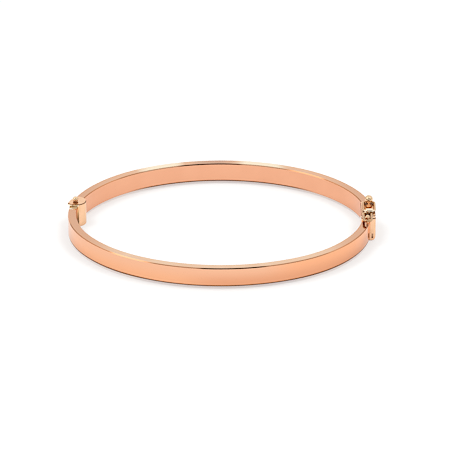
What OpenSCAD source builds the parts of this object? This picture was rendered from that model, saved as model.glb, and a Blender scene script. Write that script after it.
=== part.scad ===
// Hinged oval bangle in plated metal, lying closed on its side.
// The hinge is at -X and the clasp at +X; the back half is at +Y and the front half at -Y.
// Z is up, and zero is the surface that the hinge housing and the clasp stand on.

/* [Band] */
// Half of the oval's outer length, from the middle to the hinge or clasp end
half_length = 32; // [31:0.5:33]
// Half of the oval's outer depth, from the middle to the front or back
half_depth = 26.6; // [26:0.2:27.4]
// Outer radius of the oval's two ends
end_radius = 22.3; // [21.9:0.1:22.7]
// Outer radius of the stretches between the ends and the long sides
turn_radius = 29.4; // [29:0.1:30]
// Degrees that the end arc turns before the next arc begins
end_turn = 31.5; // [30:0.5:33]
// How far the front half is drawn in where it reaches the clasp
clasp_pull = 0.6; // [0.4:0.1:0.7]
// Thickness of the band, from inside to outside
band_thick = 1.8; // [1.7:0.05:1.85]
// Height of the band, from edge to edge
band_tall = 4.1; // [3.9:0.1:4.6]
// Height of the bevels along the band's edges
band_bevel = 0.2; // [0.1:0.01:0.3]

/* [Hinge] */
// Radius of the housing's round front and inner side
housing_radius = 2.1; // [2.05:0.01:2.15]
// Radius of the housing's flatter outer side
housing_side_radius = 5.2; // [4.8:0.1:6]
// How far the front of the housing lies behind the bangle's middle
housing_front = 3; // [2.8:0.1:3.2]
// Thickness of the housing's top and bottom plates
plate_thick = 0.45; // [0.4:0.01:0.48]
// Radius of the hinge pin's shaft
pin_radius = 0.4; // [0.35:0.01:0.45]
// Radius of the ball on top of the hinge pin
pin_ball = 0.58; // [0.5:0.01:0.65]
// Radius of the knuckle that turns on the pin
knuckle_radius = 0.95; // [0.9:0.01:1]

/* [Clasp] */
// Width of the clasp box and of the front half's end plate
clasp_wide = 3; // [2.9:0.05:3.2]
// How far the clasp box reaches in front of the bangle's middle
box_front = 2.4; // [2.2:0.1:2.6]
// How far the clasp box reaches behind the bangle's middle
box_back = 4.8; // [4.6:0.1:5.2]
// Thickness of the front half's end plate
end_plate_thick = 1.22; // [1:0.01:1.3]
// Length of the tongue that enters the clasp box
tongue_long = 4.7; // [4.2:0.1:4.9]
// Thickness of the tongue
tongue_thick = 1.1; // [0.8:0.1:1.2]

/* [Safety catch] */
// Radius of the catch's wire
wire_radius = 0.25; // [0.2:0.01:0.26]
// Half of the width of the rear loop, between the middles of its wires
rear_loop_half = 1.16; // [1.15:0.01:1.18]
// Half of the width of the front loop, between the middles of its wires
front_loop_half = 0.8; // [0.79:0.01:0.9]
// Radius of the ball on the post that carries the catch
post_ball = 0.86; // [0.78:0.01:0.87]
// Radius of the ball stud that the front loop drops over
stud_ball = 0.44; // [0.38:0.01:0.45]

/* [Hidden] */

rose = [0.95, 0.69, 0.54];
tan_gold = [0.97, 0.77, 0.58];

// Sides of the long arcs, and of the small round pieces
long_arc_sides = 360;
$fn = 48;
// How far joined pieces sink into each other, and cuts run past the face that they open
sink = 0.3;
// Running gap between the two halves at the hinge
run_gap = 0.05;
// How far the housing and the clasp stand proud of the band's edges and of its ends
proud = 0.5;
end_proud = 0.25;
// Height of the bevels on the housing's and the clasp's edges
block_bevel = 0.16;
// How far a bevel reaches across an edge, as a share of its height
bevel_reach = 2 / 3;

band_low = proud;
block_tall = band_tall + 2 * proud;
outer_x = half_length + end_proud;

function rounded(value, step) = round(value / step) * step;

// Outer arcs of a quarter of the oval, each as its centre, radius, first turn and last turn.
// Turns are whole hundredths of a degree, so that neighbouring arcs end in one plane, and the
// little that this adds to the depth is taken off all three centres.
function quarter_arcs(length, depth, tip_radius, bend_radius, tip_turn) =
    let (tip = [length - tip_radius, 0])
    let (bend = tip - (bend_radius - tip_radius) * [cos(tip_turn), sin(tip_turn)])
    let (bend_turn = rounded(90 - 2 * atan((depth - bend_radius - bend.y) / bend.x), 0.01))
    let (reach = bend.x / cos(bend_turn))
    let (side = bend - reach * [cos(bend_turn), sin(bend_turn)])
    let (trim = [0, depth - (side.y + bend_radius + reach)])
    [[tip + trim, tip_radius, 0, tip_turn],
     [bend + trim, bend_radius, tip_turn, bend_turn],
     [side + trim, bend_radius + reach, bend_turn, 90]];

plain_quarter = quarter_arcs(half_length, half_depth, end_radius, turn_radius, end_turn);
// The front half's quarter beside the clasp is drawn in, with a flatter end and a tighter bend
drawn_end_radius = end_radius + 2.5 * clasp_pull;
drawn_turn_radius = turn_radius - 3.33 * clasp_pull;
drawn_quarter = quarter_arcs(half_length - clasp_pull, half_depth,
                             drawn_end_radius, drawn_turn_radius, end_turn);

// X of the band's outer face on a quarter's end arc, at a distance y from the long middle line
function outer_face(quarter, y) = quarter[0][0].x + sqrt(pow(quarter[0][1], 2) - y * y);
// Turn at which the end arc crosses that distance
function turn_at(quarter, y) = rounded(asin(y / quarter[0][1]), 0.01);

// Hinge. The housing's round barrel would stand this far out, where the flatter one cuts it off.
barrel_overhang = 0.25;
housing_at = [housing_radius - outer_x - barrel_overhang, housing_front + housing_radius];
housing_side_at = [housing_side_radius - outer_x, housing_front];
// The back half's band ends this far behind the housing's middle, inside its back wall
back_band_inset = 1.1;
// The pin stands this far in from the housing's outer side and its front
pin_inset = [1.7, 1.8];
pin_at = [pin_inset.x - outer_x, housing_front + pin_inset.y];
knuckle_bore = pin_radius + 0.05;
plate_bore = pin_radius + 0.01;
cavity_radius = knuckle_radius + run_gap;
// The neck between band and knuckle is a little thinner than the band
neck_inset = 0.04;
neck_outer = outer_face(plain_quarter, housing_front);
neck_back = pin_at.y - 0.65;
// X of the inner wall's side of the mouth, clear of the neck
mouth_wall = band_thick - neck_outer + 0.2;

// Clasp. Corner radii run anticlockwise from the lowest x and y.
clasp_inner = outer_x - clasp_wide;
box_corners = [0.45, 0.45, 0.9, 0.6];
end_plate_corners = [0.4, 0.4, 0.45, 0.45];
box_wall = 0.4;
box_cavity_back = 3;
end_plate_back = -box_front - 0.08;
end_plate_front = end_plate_back - end_plate_thick;
tongue_x = outer_x - 1.35;
tongue_low = band_low + 0.45;
// Rounding of the clasp's lower outer edge
clasp_round = 1;
slot_at = [outer_x - 0.85, end_plate_front - sink, 0.55];
slot_size = [0.35, sink + 0.4, 1.05];

// Safety catch, its post and its stud
wire_z = block_tall + wire_radius + 0.08;
// The rear loop stands this far proud of the clasp box's outer side
loop_proud = 0.12;
post_at = [outer_x + loop_proud - rear_loop_half - wire_radius, 3.5];
post_neck = 0.6;
post_bore = wire_radius + 0.04;
post_ball_z = block_tall + 1.06;
stud_at = [outer_x - 1.75, -4.8];
stud_neck = 0.22;
stud_ball_z = wire_z + 0.55;
waist_y = -1.3;
waist_gap = wire_radius + 0.02;
front_loop_x = stud_at.x + 0.04;
front_loop_end = stud_at.y - 0.78;
// Half of the straight end of a loop, and the corner beside the post's hole
loop_flat = 0.1;
post_corner = 0.45;
collar_radius = 0.55;
collar_long = 1.5;
collar_edge = 0.25;
collar_at = [post_at.x, waist_y, block_tall + 0.05 + collar_radius];

// Rectangle from the Y axis with bevels on the two corners away from it
module bevelled_rim(reach, tall, bevel) {
    across = bevel * bevel_reach;
    polygon([[0, 0], [reach - across, 0], [reach, bevel],
             [reach, tall - bevel], [reach - across, tall], [0, tall]]);
}

// Block on z = 0 with its own radius at each upright corner and bevels above and below
module soft_block(low, high, corners, tall) {
    centres = [
        [low.x + corners[0], low.y + corners[0]],
        [high.x - corners[1], low.y + corners[1]],
        [high.x - corners[2], high.y - corners[2]],
        [low.x + corners[3], high.y - corners[3]]];
    // Each side's rim reaches inwards as far as the smaller of its two corners
    reaches = [for (i = [0:3]) min(corners[i], corners[(i + 1) % 4])];
    outwards = [for (i = [0:3]) [sin(90 * i), -cos(90 * i)]];
    function inner_start(i) = centres[i] + (corners[i] - reaches[i]) * outwards[i];
    function inner_end(i) =
        centres[(i + 1) % 4] + (corners[(i + 1) % 4] - reaches[i]) * outwards[i];
    for (i = [0:3]) {
        translate(centres[i]) rotate_extrude() bevelled_rim(corners[i], tall, block_bevel);
        translate(inner_start(i)) rotate([0, 0, 90 * i]) mirror([0, 1, 0]) rotate([90, 0, 90])
            linear_extrude(norm(inner_end(i) - inner_start(i)))
                bevelled_rim(reaches[i], tall, block_bevel);
    }
    linear_extrude(tall) polygon([for (i = [0:3]) each [inner_start(i), inner_end(i)]]);
}

// Moves by a coarse and then a fine step, which together keep every digit of the offset
module move_exactly(offset) {
    coarse = [for (c = offset) rounded(c, 0.001)];
    translate(coarse) translate(offset - coarse) children();
}

// Band along a quarter of the oval, from a turn on its end arc to the middle of the long side
module band_quarter(quarter, first_turn) {
    for (arc = quarter) {
        from = arc[2] == 0 ? first_turn : arc[2];
        move_exactly(arc[0]) rotate_extrude(angle = arc[3] - from, start = from, $fn = long_arc_sides)
            move_exactly([arc[1] - band_thick / 2, band_low]) for (side = [0, 1]) mirror([side, 0])
                bevelled_rim(band_thick / 2, band_tall, band_bevel);
    }
}

// Hinge housing before its cavity is cut: where two upright barrels meet
module hinge_housing() {
    intersection() {
        translate(housing_at) rotate_extrude($fn = 2 * $fn)
            bevelled_rim(housing_radius, block_tall, block_bevel);
        translate(housing_side_at) rotate_extrude($fn = 2 * $fn)
            bevelled_rim(housing_side_radius, block_tall, block_bevel);
    }
}

// Space between the housing's plates, open to the side and the front, and the pin's hole
module hinge_cavity() {
    translate([0, 0, plate_thick]) linear_extrude(block_tall - 2 * plate_thick) {
        translate(pin_at) circle(cavity_radius);
        translate([-outer_x - sink, housing_front - sink])
            square([mouth_wall + outer_x + sink, neck_back - housing_front + sink]);
        translate([-outer_x - sink, housing_front - sink])
            square([pin_at.x + outer_x + sink, pin_at.y + cavity_radius - housing_front + sink]);
    }
    translate([pin_at.x, pin_at.y, -sink]) cylinder(r = plate_bore, h = block_tall + 2 * sink);
}

// End of the front half that turns between the housing's plates
module hinge_knuckle() {
    difference() {
        translate([0, 0, band_low]) linear_extrude(band_tall) {
            translate(pin_at) circle(knuckle_radius);
            translate([-neck_outer + neck_inset, housing_front - sink])
                square([band_thick - 2 * neck_inset, neck_back - housing_front + sink]);
        }
        translate([pin_at.x, pin_at.y, 0]) cylinder(r = knuckle_bore, h = block_tall);
    }
}

// Block of the clasp between two y, with its lower outer edge well rounded
module clasp_block(front, back, corners) {
    intersection() {
        soft_block([clasp_inner, front], [outer_x, back], corners, block_tall);
        translate([0, back + sink, 0]) rotate([90, 0, 0]) linear_extrude(back - front + 2 * sink) {
            translate([clasp_inner - sink, -sink])
                square([clasp_wide + sink - clasp_round, block_tall + 2 * sink]);
            translate([clasp_inner, clasp_round])
                square([clasp_wide + sink, block_tall + sink - clasp_round]);
            translate([outer_x - clasp_round, clasp_round]) circle(clasp_round);
        }
    }
}

// Box that the tongue enters through its open front
module clasp_box() {
    cavity = [clasp_wide - 2 * box_wall, box_cavity_back + box_front + sink, band_tall];
    difference() {
        clasp_block(-box_front, box_back, box_corners);
        translate([clasp_inner + box_wall, -box_front - sink, band_low]) cube(cavity);
    }
}

// Plate on the front half's end, with a narrow slot low on its face, and the tongue behind it
module clasp_end() {
    difference() {
        clasp_block(end_plate_front, end_plate_back, end_plate_corners);
        translate(slot_at) cube(slot_size);
    }
    translate([tongue_x - tongue_thick / 2, end_plate_back - sink, tongue_low])
        cube([tongue_thick, tongue_long + sink, block_tall - 2 * tongue_low]);
}

// Post on the clasp box, drilled along X for the catch's wire, under its ball
module catch_post() {
    difference() {
        translate([post_at.x, post_at.y, 0]) {
            translate([0, 0, block_tall - sink])
                cylinder(r = post_neck, h = post_ball_z - block_tall + sink);
            translate([0, 0, post_ball_z]) sphere(post_ball);
        }
        translate([post_at.x - 1, post_at.y, wire_z]) rotate([0, 90, 0])
            cylinder(r = post_bore, h = 2);
    }
}

// Small ball on a neck on the front half's upper edge
module catch_stud() {
    translate([stud_at.x, stud_at.y, band_low + band_tall - sink])
        cylinder(r = stud_neck, h = stud_ball_z - band_low - band_tall + sink);
    translate([stud_at.x, stud_at.y, stud_ball_z]) sphere(stud_ball);
}

// Closed loop of wire in the catch's plane, from its end at the waist to its far end
module wire_loop(middle_x, waist_end, far_end, half, waist_corner, far_corner) {
    outward = sign(far_end - waist_end);
    ends = [[waist_end, waist_corner, outward], [far_end, far_corner, -outward]];
    translate([middle_x, 0, wire_z]) for (side = [0, 1]) mirror([side, 0]) {
        for (end = ends) {
            bar = half - end[1];
            translate([0, end[0], 0]) rotate([0, 90, 0]) cylinder(r = wire_radius, h = bar);
            translate([bar, end[0] + end[2] * end[1], 0]) mirror([0, end[2] > 0 ? 1 : 0])
                rotate_extrude(angle = 90, $fn = 2 * $fn)
                    translate([end[1], 0]) circle(wire_radius);
        }
        straight = [for (end = ends) end[0] + end[2] * end[1]];
        translate([half, min(straight), 0]) rotate([-90, 0, 0])
            cylinder(r = wire_radius, h = abs(straight[1] - straight[0]));
    }
}

module back_half() {
    color(rose) band_quarter(plain_quarter, turn_at(plain_quarter, box_back - 2 * sink));
    difference() {
        union() {
            color(rose) mirror([1, 0, 0])
                band_quarter(plain_quarter, turn_at(plain_quarter, housing_at.y + back_band_inset));
            color(tan_gold) hinge_housing();
        }
        hinge_cavity();
    }
    color(tan_gold) clasp_box();
    color(tan_gold) catch_post();
}

module front_half() {
    color(rose) mirror([0, 1, 0]) {
        band_quarter(drawn_quarter, turn_at(drawn_quarter, -end_plate_front - 2 * sink));
        mirror([1, 0, 0]) band_quarter(plain_quarter, -turn_at(plain_quarter, housing_front));
    }
    color(rose) hinge_knuckle();
    color(tan_gold) clasp_end();
    color(tan_gold) catch_stud();
}

// Shaft with a ball that sits on the housing's top
module hinge_pin() {
    color(tan_gold) translate([pin_at.x, pin_at.y, 0]) {
        translate([0, 0, 0.05]) cylinder(r = pin_radius, h = block_tall);
        difference() {
            translate([0, 0, block_tall + 0.8 * pin_ball]) sphere(pin_ball);
            translate([-1, -1, block_tall - 1]) cube([2, 2, 1]);
        }
    }
}

// Wire figure of eight with a short collar over its waist
module safety_catch() {
    color(tan_gold) {
        wire_loop(post_at.x, waist_y + waist_gap, post_at.y, rear_loop_half,
                  rear_loop_half - loop_flat, post_corner);
        wire_loop(front_loop_x, waist_y - waist_gap, front_loop_end, front_loop_half,
                  front_loop_half - loop_flat, front_loop_half - loop_flat);
        translate([collar_at.x - collar_long / 2, collar_at.y, collar_at.z])
            rotate([0, 90, 0]) rotate_extrude() {
                square([collar_radius - collar_edge, collar_long]);
                translate([0, collar_edge]) square([collar_radius, collar_long - 2 * collar_edge]);
                for (x = [collar_edge, collar_long - collar_edge])
                    translate([collar_radius - collar_edge, x]) circle(collar_edge);
            }
    }
}

back_half();
front_half();
hinge_pin();
safety_catch();
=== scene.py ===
"""Looks of a hinged oval bangle in polished plate, lying closed on a pale surface."""

import math

import bmesh
import bpy
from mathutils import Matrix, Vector

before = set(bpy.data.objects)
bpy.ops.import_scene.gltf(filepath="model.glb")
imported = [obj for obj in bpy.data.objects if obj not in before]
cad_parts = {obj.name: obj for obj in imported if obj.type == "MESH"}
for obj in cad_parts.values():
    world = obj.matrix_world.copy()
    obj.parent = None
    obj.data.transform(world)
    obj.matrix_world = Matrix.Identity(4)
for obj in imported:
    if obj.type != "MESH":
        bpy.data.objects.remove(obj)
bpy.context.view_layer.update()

MM = 0.001

# The photograph's frame, and the camera that was fitted to the bangle's rims in it
PICTURE_PIXELS = 450
SENSOR_WIDTH = 36.0
FOCAL_PIXELS = 4588.0
VIEW_DISTANCE = 0.960
VIEW_ELEVATION = math.radians(25.35)
NEAREST_SEEN = 0.05
FARTHEST_SEEN = 20.0
# The bangle's middle, at half the band's height, and the pixel where it shows
AIM_POINT = Vector((0.0, 0.0, 2.55 * MM))
AIM_PIXEL = (221.02, 221.88)

# Brightness of the room by the height of the direction, from the horizon at 0 to overhead at 1
ROOM_BY_HEIGHT = ((0.0, 0.62), (0.2, 0.90), (0.42, 1.18), (0.6, 1.1), (1.0, 1.15))
# Patches of the room: the turn of the middle from the camera's side, in degrees, half of the
# width, the lowest and highest elevation, how far the patch fades out, and what it multiplies by
ROOM_PATCHES = {
    "dark_above_camera": (8.0, 23.0, 34.0, 50.0, 6.0, 0.16),
    "dim_above_camera": (14.0, 68.0, 26.0, 50.0, 8.0, 0.74),
    "dim_low_front": (0.0, 70.0, -10.0, 14.0, 4.0, 0.30),
    "bright_beside_camera": (0.0, 60.0, 17.0, 32.0, 3.0, 1.15),
    "bright_left": (-66.0, 16.0, 25.0, 65.0, 8.0, 2.0),
    "bright_right": (66.0, 16.0, 46.0, 70.0, 8.0, 2.0),
}
ROOM_STRENGTH = 0.85

# Place of the softbox on the right, which the one on the left mirrors, and the size and radiance
# of both
SOFTBOX_AT = (0.36, 0.02, 0.85)
SOFTBOX_SIZE = (0.3, 0.3)
SOFTBOX_RADIANCE = 11.0

# The floor glows a little, as a lit white sheet does, so its shadows stay pale and warm
FLOOR_HALF_WIDTH = 6.0
FLOOR_COLOUR = (0.32, 0.36, 0.365)
FLOOR_GLOW_COLOUR = (1.0, 0.90, 0.88)
FLOOR_GLOW = 0.56
FLOOR_ROUGHNESS = 0.9

# Plate colours, as linear red, green and blue
ROSE = (0.860, 0.427, 0.259)
ROSE_DEEP = (0.840, 0.410, 0.246)
ROSE_UPPER = (0.890, 0.480, 0.300)
ROSE_UPPER_RIGHT = (0.945, 0.450, 0.245)
# The lower tones are painted shade, reflected from the floor near the band's foot
ROSE_LOWER_SHADED = (0.800, 0.370, 0.205)
ROSE_LOWER_LEFT_SHADED = (0.910, 0.450, 0.250)
# Flat edge tones are painted reflections; the crease tone is painted shadow and the cream a painted
# highlight
EDGE_TAN = (0.62, 0.355, 0.235)
EDGE_ROSE = (0.80, 0.47, 0.295)
EDGE_DEEP = (0.72, 0.395, 0.24)
EDGE_PLATE_SHADOW = (0.33, 0.20, 0.10)
CREAM_HIGHLIGHT = (0.98, 0.83, 0.62)
# Bevel tones are painted dark reflections; the brown also paints the shade along the band's foot
BEVEL_ROSE = (0.64, 0.24, 0.08)
BEVEL_BROWN = (0.20, 0.075, 0.03)
PALE_GOLD = (0.93, 0.58, 0.36)
PALE_DEEP = (0.90, 0.55, 0.33)
BRIGHT_GOLD = (0.87, 0.61, 0.38)
WIRE_GOLD = (0.85, 0.54, 0.31)
WIRE_DEEP = (0.62, 0.37, 0.19)
# Crevice tones are painted shade; the dark one also paints shade under the catch and beside the collar
HINGE_CREVICE_SHADE = (0.75, 0.43, 0.24)
CLASP_CREVICE_SHADE = (0.40, 0.18, 0.085)
DARK_PAINTED_SHADE = (0.22, 0.095, 0.04)
GAP_GLOW = (0.90, 0.95, 0.55)

# Places on the bangle are in millimetres in its own frame. Unless its comment says otherwise, a
# pair is where a tone begins to change and where it has changed fully.

# Where the findings are on a half that also has band: blocks of space, as low and high corners
FINDINGS = {
    "back_half": (((-33.0, 2.9, -1.0), (-28.2, 7.25, 9.0)), ((29.1, -3.0, -1.0), (33.0, 4.82, 9.0))),
    "front_half": (((29.1, -3.72, -1.0), (33.0, 3.0, 9.0)), ((29.1, -5.8, 4.62), (33.0, -3.0, 9.0))),
}
# Height that only the catch post and the ball stud rise above
FINDINGS_TOP = 5.15

# Outer faces, whose tones are a painted reflection of the floor that is in shade near the band, so
# the lower part is deeper: along X where the lower part turns from its left tone to its right one
# and where the upper part does, and the heights between which the lower part gives way to the upper
LOWER_TURNS = (-11.0, 1.0)
UPPER_TURNS = (8.0, 17.0)
LOWER_TO_UPPER = (1.2, 4.2)

# Flat edges: the band's middle height, and how far from it the edges begin
BAND_MIDDLE = 2.55
EDGE_BEGINS = (1.84, 1.92)
# Along Y where the front half gives way to the back half, and how pale the front half's edges are
FRONT_TO_BACK = (0.0, 1.0)
FRONT_PALENESS = 0.22
# Stretches of the back half's edges with a painted highlight, and one with a painted dark
# reflection: the middle along X and half the width, and how far within its ends a stretch fades
HIGHLIGHT_STRETCHES = ((-13.0, 4.0), (8.5, 4.8))
DARK_REFLECTION_STRETCH = (-1.5, 3.5)
STRETCH_FADES = (-1.8, 1.8)
# How far from the middle along X the edges deepen towards the band's ends
EDGES_DEEPEN = (19.0, 29.0)

# Hinge: where it ends along X, and a place along Y that is behind the front half's end there
HINGE_ENDS = -28.5
BEHIND_FRONT_END = 5.0
# Along Y the painted cream highlight at the front half's end, and the painted shadow behind it under
# the housing's top plate
CREAM_STRIP = (1.75, 2.0)
PLATE_SHADOW = (2.5, 2.75)
# Where the housing's mouth ends along X, and the height at which its top plate begins
MOUTH_ENDS = -29.85
LIP_BEGINS = 4.6
# How far a normal leans from the level at most for an upright face, and towards the front at least
UPRIGHT_LEAN = 0.3
FRONTAL_LEAN = -0.3
# Heights in the hinge's gaps, and how strongly the lowest and the highest place there glows
GAP_HEIGHTS = (1.0, 4.6)
GAP_GLOW_STRENGTH = (0.06, 0.40)

# Bevels, which carry a painted dark reflection: how much a normal points upwards where they begin
# and where they end, and how much of the bevel's tone shows on the band and on a finding
BEVEL_BEGINS = (0.25, 0.35)
BEVEL_ENDS = (0.75, 0.85)
BEVEL_SHARES = (0.6, 0.9)
# Painted brown line of shade along the band's foot: the heights between which it fades out, how
# much higher it is at the ends, and how far from the middle along X it rises there and is left out
# on the inside
FOOT_LINE_ENDS = (0.76, 0.84)
FOOT_LINE_RISE = 0.07
FOOT_LINE_RISES = (12.0, 20.0)
FOOT_LINE_LEFT_OUT = (14.0, 21.0)

# Catch: the collar's middle and half of its length along Y
COLLAR_MIDDLE = -1.3
COLLAR_HALF = 0.6
# Along Y where the front loop passes into the rest, and how deep the wire's tone is in each
LOOP_TO_REST = (-4.5, -1.9)
WIRE_DEPTHS = (1.0, 0.4)
# Undersides, with painted shade: how much a normal points upwards where they are darkest and where
# they end, how much of the dark tone shows at each, and how much further up the collar they reach
UNDERSIDE = (-0.4, -0.05)
UNDERSIDE_SHARES = (0.9, 0.0)
COLLAR_UNDERSIDE = 0.3
# Stretch of the front loop beside the collar with painted shade: where it begins and ends along Y,
# and where it begins along X
SHADE_BEGINS = (-2.45, -2.25)
SHADE_ENDS = COLLAR_MIDDLE - 0.56
SHADE_FROM_X = 30.9

# Noise on the plate: its scale per millimetre, the span of its values that is drawn out, and the
# two ends that this span is drawn out to. The ends for the wear are the plate's roughness.
FACE_BLOTCHES = (0.16, (0.35, 0.65), (0.0, 1.0))
FINDING_BLOTCHES = (0.9, (0.35, 0.65), (0.0, 1.0))
EDGE_PALENESS = (0.3, (0.35, 0.7), (0.0, 0.12))
WIRE_PALENESS = (0.9, (0.35, 0.75), (0.0, 0.2))
RAGGED_STRETCHES = (0.25, (0.3, 0.7), (-0.6, 0.6))
RAGGED_EDGES = (1.5, (0.3, 0.7), (-0.03, 0.03))
WEAR = (1.2, (0.3, 0.7), (0.045, 0.09))
WEAR_DETAIL = 4.0

# Crevices, darkened with painted shade: how near another surface has to be for the shade to be
# painted, how many rays look for it, how open a place is where the shade begins to give way and
# where it is gone, and how metallic the shaded place is and how much rougher
CREVICE_REACH = 0.8
CREVICE_RAYS = 8
UNSHADED_OPENNESS = (0.1, 0.6)
CREVICE_METALLIC = 0.25
CREVICE_ROUGHNESS = 0.4

# Hairlines of polishing: how many noise cells there are in a radian along the oval and in a
# millimetre across it, the noise's detail, and how deep and how strong the lines are
HAIRLINES_PER_RADIAN = 12.0
HAIRLINES_PER_MM = 9.0
HAIRLINE_DETAIL = 3.0
HAIRLINE_DEPTH = 0.002
HAIRLINE_STRENGTH = 0.5

SHARPENING = 0.12


def place_camera():
    """Camera at the photograph's angle, moved sideways so that the middle shows at its pixel."""
    data = bpy.data.cameras.new("camera")
    data.sensor_width = SENSOR_WIDTH
    data.lens = FOCAL_PIXELS / PICTURE_PIXELS * SENSOR_WIDTH
    data.clip_start = NEAREST_SEEN
    data.clip_end = FARTHEST_SEEN
    camera = bpy.data.objects.new("camera", data)
    right = Vector((1.0, 0.0, 0.0))
    up = Vector((0.0, math.sin(VIEW_ELEVATION), math.cos(VIEW_ELEVATION)))
    backwards = Vector((0.0, -math.cos(VIEW_ELEVATION), math.sin(VIEW_ELEVATION)))
    metres_per_pixel = VIEW_DISTANCE / FOCAL_PIXELS
    sideways = (PICTURE_PIXELS / 2 - AIM_PIXEL[0]) * metres_per_pixel
    upwards = (AIM_PIXEL[1] - PICTURE_PIXELS / 2) * metres_per_pixel
    camera.location = AIM_POINT + backwards * VIEW_DISTANCE + right * sideways + up * upwards
    camera.rotation_euler = (math.pi / 2 - VIEW_ELEVATION, 0.0, 0.0)
    bpy.context.scene.collection.objects.link(camera)
    bpy.context.scene.camera = camera


def opaque(colour):
    """The four numbers that a colour socket takes."""
    return (*colour, 1.0)


class Nodes:
    """Short way to add linked nodes to one node tree. A mask is a value from 0 to 1."""

    def __init__(self, tree):
        self.tree = tree

    def link(self, output, socket):
        self.tree.links.new(output, socket)

    def add(self, kind, inputs, output=0, **properties):
        """Adds a node, sets its properties, links or sets its inputs, and gives one output."""
        node = self.tree.nodes.new(kind)
        for name, value in properties.items():
            setattr(node, name, value)
        for name, value in inputs.items():
            if isinstance(value, bpy.types.NodeSocket):
                self.link(value, node.inputs[name])
            else:
                node.inputs[name].default_value = value
        return node.outputs[output]

    def maths(self, operation, first, second=0.0):
        return self.add("ShaderNodeMath", {0: first, 1: second}, operation=operation)

    def plus(self, first, second):
        return self.maths("ADD", first, second)

    def minus(self, first, second):
        return self.maths("SUBTRACT", first, second)

    def times(self, first, *others):
        """Product, which for masks is where all of them are."""
        for other in others:
            first = self.maths("MULTIPLY", first, other)
        return first

    def most(self, first, second):
        """The larger value, which for masks is where either of them is."""
        return self.maths("MAXIMUM", first, second)

    def size(self, value):
        return self.maths("ABSOLUTE", value)

    def degrees(self, angle):
        return self.maths("DEGREES", angle)

    def below(self, value, limit):
        """Mask of where the value is below the limit."""
        return self.maths("LESS_THAN", value, limit)

    def above(self, value, limit):
        """Mask of where the value is above the limit."""
        return self.maths("GREATER_THAN", value, limit)

    def inverse(self, mask):
        return self.minus(1.0, mask)

    def ramp(self, value, span, ends=(0.0, 1.0), curve="SMOOTHSTEP"):
        """Goes from the first end to the second as the given value crosses the span."""
        names = ("Value", "From Min", "From Max", "To Min", "To Max")
        inputs = dict(zip(names, (value, *span, *ends)))
        return self.add("ShaderNodeMapRange", inputs, interpolation_type=curve)

    def vector(self, operation, first, second=(0.0, 0.0, 0.0), output=0):
        return self.add("ShaderNodeVectorMath", {0: first, 1: second}, output, operation=operation)

    def separate(self, vector):
        """The three parts of a vector."""
        parts = self.tree.nodes.new("ShaderNodeSeparateXYZ")
        self.link(vector, parts.inputs[0])
        return list(parts.outputs)

    def combine(self, x, y, z):
        return self.add("ShaderNodeCombineXYZ", {0: x, 1: y, 2: z})

    def noise(self, where, scale, detail=2.0):
        return self.add("ShaderNodeTexNoise", {"Vector": where, "Scale": scale, "Detail": detail})

    def blotches(self, where, scale, span, ends, detail=2.0):
        """Noise with a span of its values drawn out to the two ends."""
        return self.ramp(self.noise(where, scale, detail), span, ends)

    def mix(self, share, first, second):
        """Colour between two, each of them a socket or plain red, green and blue."""
        colours = [opaque(side) if isinstance(side, tuple) else side for side in (first, second)]
        return self.add("ShaderNodeMix", {0: share, 6: colours[0], 7: colours[1]}, 2, data_type="RGBA")


def make_floor():
    """Wide pale surface that the bangle lies on."""
    form = bmesh.new()
    bmesh.ops.create_grid(form, x_segments=2, y_segments=2, size=FLOOR_HALF_WIDTH)
    mesh = bpy.data.meshes.new("floor")
    form.to_mesh(mesh)
    form.free()
    floor = bpy.data.objects.new("floor", mesh)
    bpy.context.scene.collection.objects.link(floor)
    material = bpy.data.materials.new("pale_floor")
    material.use_nodes = True
    shader = material.node_tree.nodes["Principled BSDF"]
    shader.inputs["Base Color"].default_value = opaque(FLOOR_COLOUR)
    shader.inputs["Emission Color"].default_value = opaque(FLOOR_GLOW_COLOUR)
    shader.inputs["Emission Strength"].default_value = FLOOR_GLOW
    shader.inputs["Roughness"].default_value = FLOOR_ROUGHNESS
    shader.inputs["Specular IOR Level"].default_value = 0.0
    mesh.materials.append(material)


def light_room():
    """White room, dimmer towards the horizon, with the patches that the plate reflects."""
    world = bpy.data.worlds.new("studio")
    world.use_nodes = True
    bpy.context.scene.world = world
    background = world.node_tree.nodes["Background"]
    background.inputs["Color"].default_value = opaque((1.0, 1.0, 1.0))
    n = Nodes(world.node_tree)
    x, y, z = n.separate(n.add("ShaderNodeTexCoord", {}, "Generated"))
    turn = n.degrees(n.maths("ARCTAN2", x, n.times(y, -1.0)))
    elevation = n.degrees(n.maths("ARCSINE", z))
    level = ROOM_BY_HEIGHT[0][1]
    for (low, below), (high, above) in zip(ROOM_BY_HEIGHT, ROOM_BY_HEIGHT[1:]):
        level = n.plus(n.ramp(z, (low, high), (0.0, above - below), "LINEAR"), level)
    for middle, half_width, low, high, fade, share in ROOM_PATCHES.values():
        sideways = n.minus(n.size(n.minus(turn, middle)), half_width)
        upwards = n.most(n.minus(low, elevation), n.minus(elevation, high))
        outside = n.most(sideways, upwards)
        level = n.times(level, n.ramp(outside, (-fade / 2, fade / 2), (share, 1.0)))
    n.link(n.times(level, ROOM_STRENGTH), background.inputs["Strength"])


def add_softbox(name, side):
    """Area light on one side, facing the bangle, that neither the camera nor the plate sees."""
    data = bpy.data.lights.new(name, "AREA")
    data.shape = "RECTANGLE"
    data.size, data.size_y = SOFTBOX_SIZE
    data.energy = SOFTBOX_RADIANCE * math.pi * SOFTBOX_SIZE[0] * SOFTBOX_SIZE[1]
    light = bpy.data.objects.new(name, data)
    light.location = (side * SOFTBOX_AT[0], SOFTBOX_AT[1], SOFTBOX_AT[2])
    light.rotation_euler = (AIM_POINT - light.location).to_track_quat("-Z", "Y").to_euler()
    light.visible_camera = False
    light.visible_glossy = False
    bpy.context.scene.collection.objects.link(light)


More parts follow.
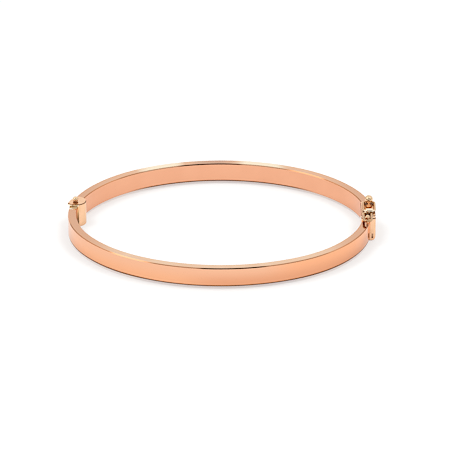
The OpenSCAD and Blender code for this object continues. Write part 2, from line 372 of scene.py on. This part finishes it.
def inside_block(n, place, low, high):
    """Mask of a block of space."""
    middle = [(a + b) / 2 for a, b in zip(low, high)]
    half = [(b - a) / 2 for a, b in zip(low, high)]
    scaled = n.vector("ABSOLUTE", n.vector("DIVIDE", n.vector("SUBTRACT", place, middle), half))
    x, y, z = n.separate(scaled)
    return n.below(n.most(x, n.most(y, z)), 1.0)


def stretch(n, x, middle, half_width):
    """Mask of a stretch along X that fades out at its ends."""
    inside = n.minus(half_width, n.size(n.minus(x, middle)))
    return n.ramp(inside, STRETCH_FADES)


def outwardness(n, place, normal):
    """Above 0 where a surface faces away from the bangle's middle, and below 0 inside the oval."""
    return n.vector("DOT_PRODUCT", normal, place, "Value")


def face_colour(n, place, normal):
    """Rose faces. Outer ones carry painted shade reflected from the floor: deeper at the foot, less on
    the left, warmer at right.
    """
    x, y, z = n.separate(place)
    inner = n.mix(n.blotches(place, *FACE_BLOTCHES), ROSE, ROSE_DEEP)
    lower = n.mix(n.ramp(x, LOWER_TURNS), ROSE_LOWER_LEFT_SHADED, ROSE_LOWER_SHADED)
    upper = n.mix(n.ramp(x, UPPER_TURNS), ROSE_UPPER, ROSE_UPPER_RIGHT)
    outer = n.mix(n.ramp(z, LOWER_TO_UPPER), lower, upper)
    return n.mix(n.above(outwardness(n, place, normal), 0.0), inner, outer)


def edge_colour(n, place):
    """Flat edges in painted reflections: highlight stretches, a dark one, deeper ends, and a painted
    highlight and shadow at the hinge.
    """
    x, y, z = n.separate(place)
    on_back = n.ramp(y, FRONT_TO_BACK)
    ragged_x = n.plus(x, n.blotches(place, *RAGGED_STRETCHES))
    pale = n.plus(n.times(n.inverse(on_back), FRONT_PALENESS), n.blotches(place, *EDGE_PALENESS))
    for middle, half_width in HIGHLIGHT_STRETCHES:
        pale = n.most(pale, n.times(stretch(n, ragged_x, middle, half_width), on_back))
    dark_reflection = n.times(stretch(n, ragged_x, *DARK_REFLECTION_STRETCH), on_back)
    towards_ends = n.ramp(n.size(x), EDGES_DEEPEN)
    tone = n.mix(towards_ends, n.mix(dark_reflection, EDGE_ROSE, EDGE_TAN), EDGE_DEEP)
    at_hinge = n.times(n.below(x, HINGE_ENDS), n.below(y, BEHIND_FRONT_END))
    strip = n.times(at_hinge, n.ramp(y, CREAM_STRIP))
    plate_shadow = n.times(at_hinge, n.ramp(y, PLATE_SHADOW))
    cream = n.most(n.times(pale, n.inverse(towards_ends)), strip)
    return n.mix(plate_shadow, n.mix(cream, tone, CREAM_HIGHLIGHT), EDGE_PLATE_SHADOW)


def band_colour(n, place, normal):
    """Faces and flat edges of the band, which meet in a slightly ragged line."""
    from_middle = n.size(n.minus(n.separate(place)[2], BAND_MIDDLE))
    ragged = n.plus(from_middle, n.blotches(place, *RAGGED_EDGES))
    return n.mix(n.ramp(ragged, EDGE_BEGINS), face_colour(n, place, normal), edge_colour(n, place))


def paint_bevel_reflections(n, colour, normal, on_finding):
    """Colour with a painted dark reflection on the bevels, rose-brown on the band and brown on
    findings.
    """
    upwards = n.separate(normal)[2]
    on_bevel = n.times(n.ramp(upwards, BEVEL_BEGINS), n.ramp(upwards, BEVEL_ENDS, (1.0, 0.0)))
    share = n.ramp(on_finding, (0.0, 1.0), BEVEL_SHARES)
    return n.mix(n.times(on_bevel, share), colour, n.mix(on_finding, BEVEL_ROSE, BEVEL_BROWN))


def foot_line(n, place, normal, on_finding):
    """Mask of the painted brown line of shade along the band's foot, left out inside near the ends."""
    x, y, z = n.separate(place)
    from_middle = n.size(x)
    height = n.minus(z, n.ramp(from_middle, FOOT_LINE_RISES, (0.0, FOOT_LINE_RISE)))
    line = n.ramp(height, FOOT_LINE_ENDS, (1.0, 0.0))
    inside = n.below(outwardness(n, place, normal), 0.0)
    left_out = n.times(inside, n.ramp(from_middle, FOOT_LINE_LEFT_OUT))
    return n.times(line, n.inverse(on_finding), n.inverse(left_out))


def housing_lip(n, place, normal):
    """Mask of the upright front of the housing's top plate, which gets a painted cream highlight."""
    x, y, z = n.separate(place)
    to_right, to_back, upwards = n.separate(normal)
    upright = n.below(n.size(upwards), UPRIGHT_LEAN)
    frontal = n.below(to_back, FRONTAL_LEAN)
    return n.times(n.below(x, MOUTH_ENDS), n.above(z, LIP_BEGINS), upright, frontal)


def gap_glow(n, place, unshaded):
    """Painted glow in the narrow gaps of the hinge, for the light that many reflections carry there,
    more near their top.
    """
    x, y, z = n.separate(place)
    in_gap = n.times(n.below(x, HINGE_ENDS), n.below(z, LIP_BEGINS))
    return n.times(in_gap, n.ramp(z, GAP_HEIGHTS, GAP_GLOW_STRENGTH), n.inverse(unshaded))


def half_colour(n, name, place, normal, lip):
    """Rose band and paler findings of a half, with painted bevel reflections, painted foot shade,
    bright balls and the lip's painted highlight.
    """
    on_finding = n.most(*[inside_block(n, place, low, high) for low, high in FINDINGS[name]])
    findings = n.mix(n.blotches(place, *FINDING_BLOTCHES), PALE_GOLD, PALE_DEEP)
    colour = n.mix(on_finding, band_colour(n, place, normal), findings)
    colour = paint_bevel_reflections(n, colour, normal, on_finding)
    colour = n.mix(foot_line(n, place, normal, on_finding), colour, BEVEL_BROWN)
    colour = n.mix(n.above(n.separate(place)[2], FINDINGS_TOP), colour, BRIGHT_GOLD)
    return n.mix(lip, colour, CREAM_HIGHLIGHT)


def small_part_colour(n, place, normal):
    """Bright pin, and a catch of deeper wire with a painted cream highlight on the collar, both with
    painted shade underneath and beside the collar.
    """
    x, y, z = n.separate(place)
    on_collar = n.below(n.size(n.minus(y, COLLAR_MIDDLE)), COLLAR_HALF)
    wire = n.mix(n.ramp(y, LOOP_TO_REST, WIRE_DEPTHS), WIRE_GOLD, WIRE_DEEP)
    metal = n.mix(n.below(x, 0.0), wire, BRIGHT_GOLD)
    pale = n.most(on_collar, n.blotches(place, *WIRE_PALENESS))
    colour = n.mix(pale, metal, CREAM_HIGHLIGHT)
    upwards = n.minus(n.separate(normal)[2], n.times(on_collar, COLLAR_UNDERSIDE))
    colour = n.mix(n.ramp(upwards, UNDERSIDE, UNDERSIDE_SHARES), colour, DARK_PAINTED_SHADE)
    shade = n.times(n.ramp(y, SHADE_BEGINS), n.below(y, SHADE_ENDS), n.above(x, SHADE_FROM_X))
    return n.mix(shade, colour, DARK_PAINTED_SHADE)


def hairlines(n, place):
    """Normal with fine lines that run round the oval."""
    x, y, z = n.separate(place)
    along = n.times(n.maths("ARCTAN2", y, x), HAIRLINES_PER_RADIAN)
    from_middle = n.vector("LENGTH", n.combine(x, y, 0.0), output="Value")
    across = n.times(from_middle, HAIRLINES_PER_MM)
    cells = n.combine(along, across, n.times(z, HAIRLINES_PER_MM))
    lines = n.noise(cells, 1.0, HAIRLINE_DETAIL)
    depth = HAIRLINE_DEPTH * MM
    return n.add("ShaderNodeBump", {"Strength": HAIRLINE_STRENGTH, "Distance": depth, "Height": lines})


def plate_material(name):
    """Polished plate of a node: its colours, painted shade in its crevices, a painted glow in the
    hinge's gaps, and fine marks of polishing.
    """
    material = bpy.data.materials.new(name + "_plate")
    material.use_nodes = True
    n = Nodes(material.node_tree)
    shader = material.node_tree.nodes["Principled BSDF"]
    place = n.vector("SCALE", n.add("ShaderNodeTexCoord", {}, "Object"))
    place.node.inputs["Scale"].default_value = 1.0 / MM
    normal = n.add("ShaderNodeTexCoord", {}, "Normal")
    reach = {"Distance": CREVICE_REACH * MM}
    openness = n.add("ShaderNodeAmbientOcclusion", reach, "AO", samples=CREVICE_RAYS)
    unshaded = n.ramp(openness, UNSHADED_OPENNESS)
    if name in FINDINGS:
        lip = housing_lip(n, place, normal)
        unshaded = n.most(unshaded, lip)
        colour = half_colour(n, name, place, normal, lip)
        crevice = n.mix(n.below(n.separate(place)[0], 0.0), CLASP_CREVICE_SHADE, HINGE_CREVICE_SHADE)
        shader.inputs["Emission Color"].default_value = opaque(GAP_GLOW)
        n.link(gap_glow(n, place, unshaded), shader.inputs["Emission Strength"])
    else:
        colour = small_part_colour(n, place, normal)
        crevice = DARK_PAINTED_SHADE
    n.link(n.mix(unshaded, crevice, colour), shader.inputs["Base Color"])
    metallic = n.plus(n.times(unshaded, 1.0 - CREVICE_METALLIC), CREVICE_METALLIC)
    n.link(metallic, shader.inputs["Metallic"])
    wear = n.blotches(place, *WEAR, detail=WEAR_DETAIL)
    roughness = n.plus(wear, n.times(n.inverse(unshaded), CREVICE_ROUGHNESS))
    n.link(roughness, shader.inputs["Roughness"])
    n.link(hairlines(n, place), shader.inputs["Normal"])
    return material


def sharpen_picture():
    """Mild sharpening of the finished picture, as product photographs have."""
    scene = bpy.context.scene
    scene.use_nodes = True
    tree = scene.node_tree
    tree.nodes.clear()
    layers = tree.nodes.new("CompositorNodeRLayers")
    sharpen = tree.nodes.new("CompositorNodeFilter")
    sharpen.filter_type = "SHARPEN_DIAMOND"
    sharpen.inputs["Fac"].default_value = SHARPENING
    result = tree.nodes.new("CompositorNodeComposite")
    tree.links.new(layers.outputs["Image"], sharpen.inputs["Image"])
    tree.links.new(sharpen.outputs["Image"], result.inputs["Image"])


place_camera()
make_floor()
light_room()
for name, side in (("left_softbox", -1), ("right_softbox", 1)):
    add_softbox(name, side)
for name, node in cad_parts.items():
    node.material_slots[0].material = plate_material(name)
sharpen_picture()
bpy.context.scene.view_settings.view_transform = "Standard"
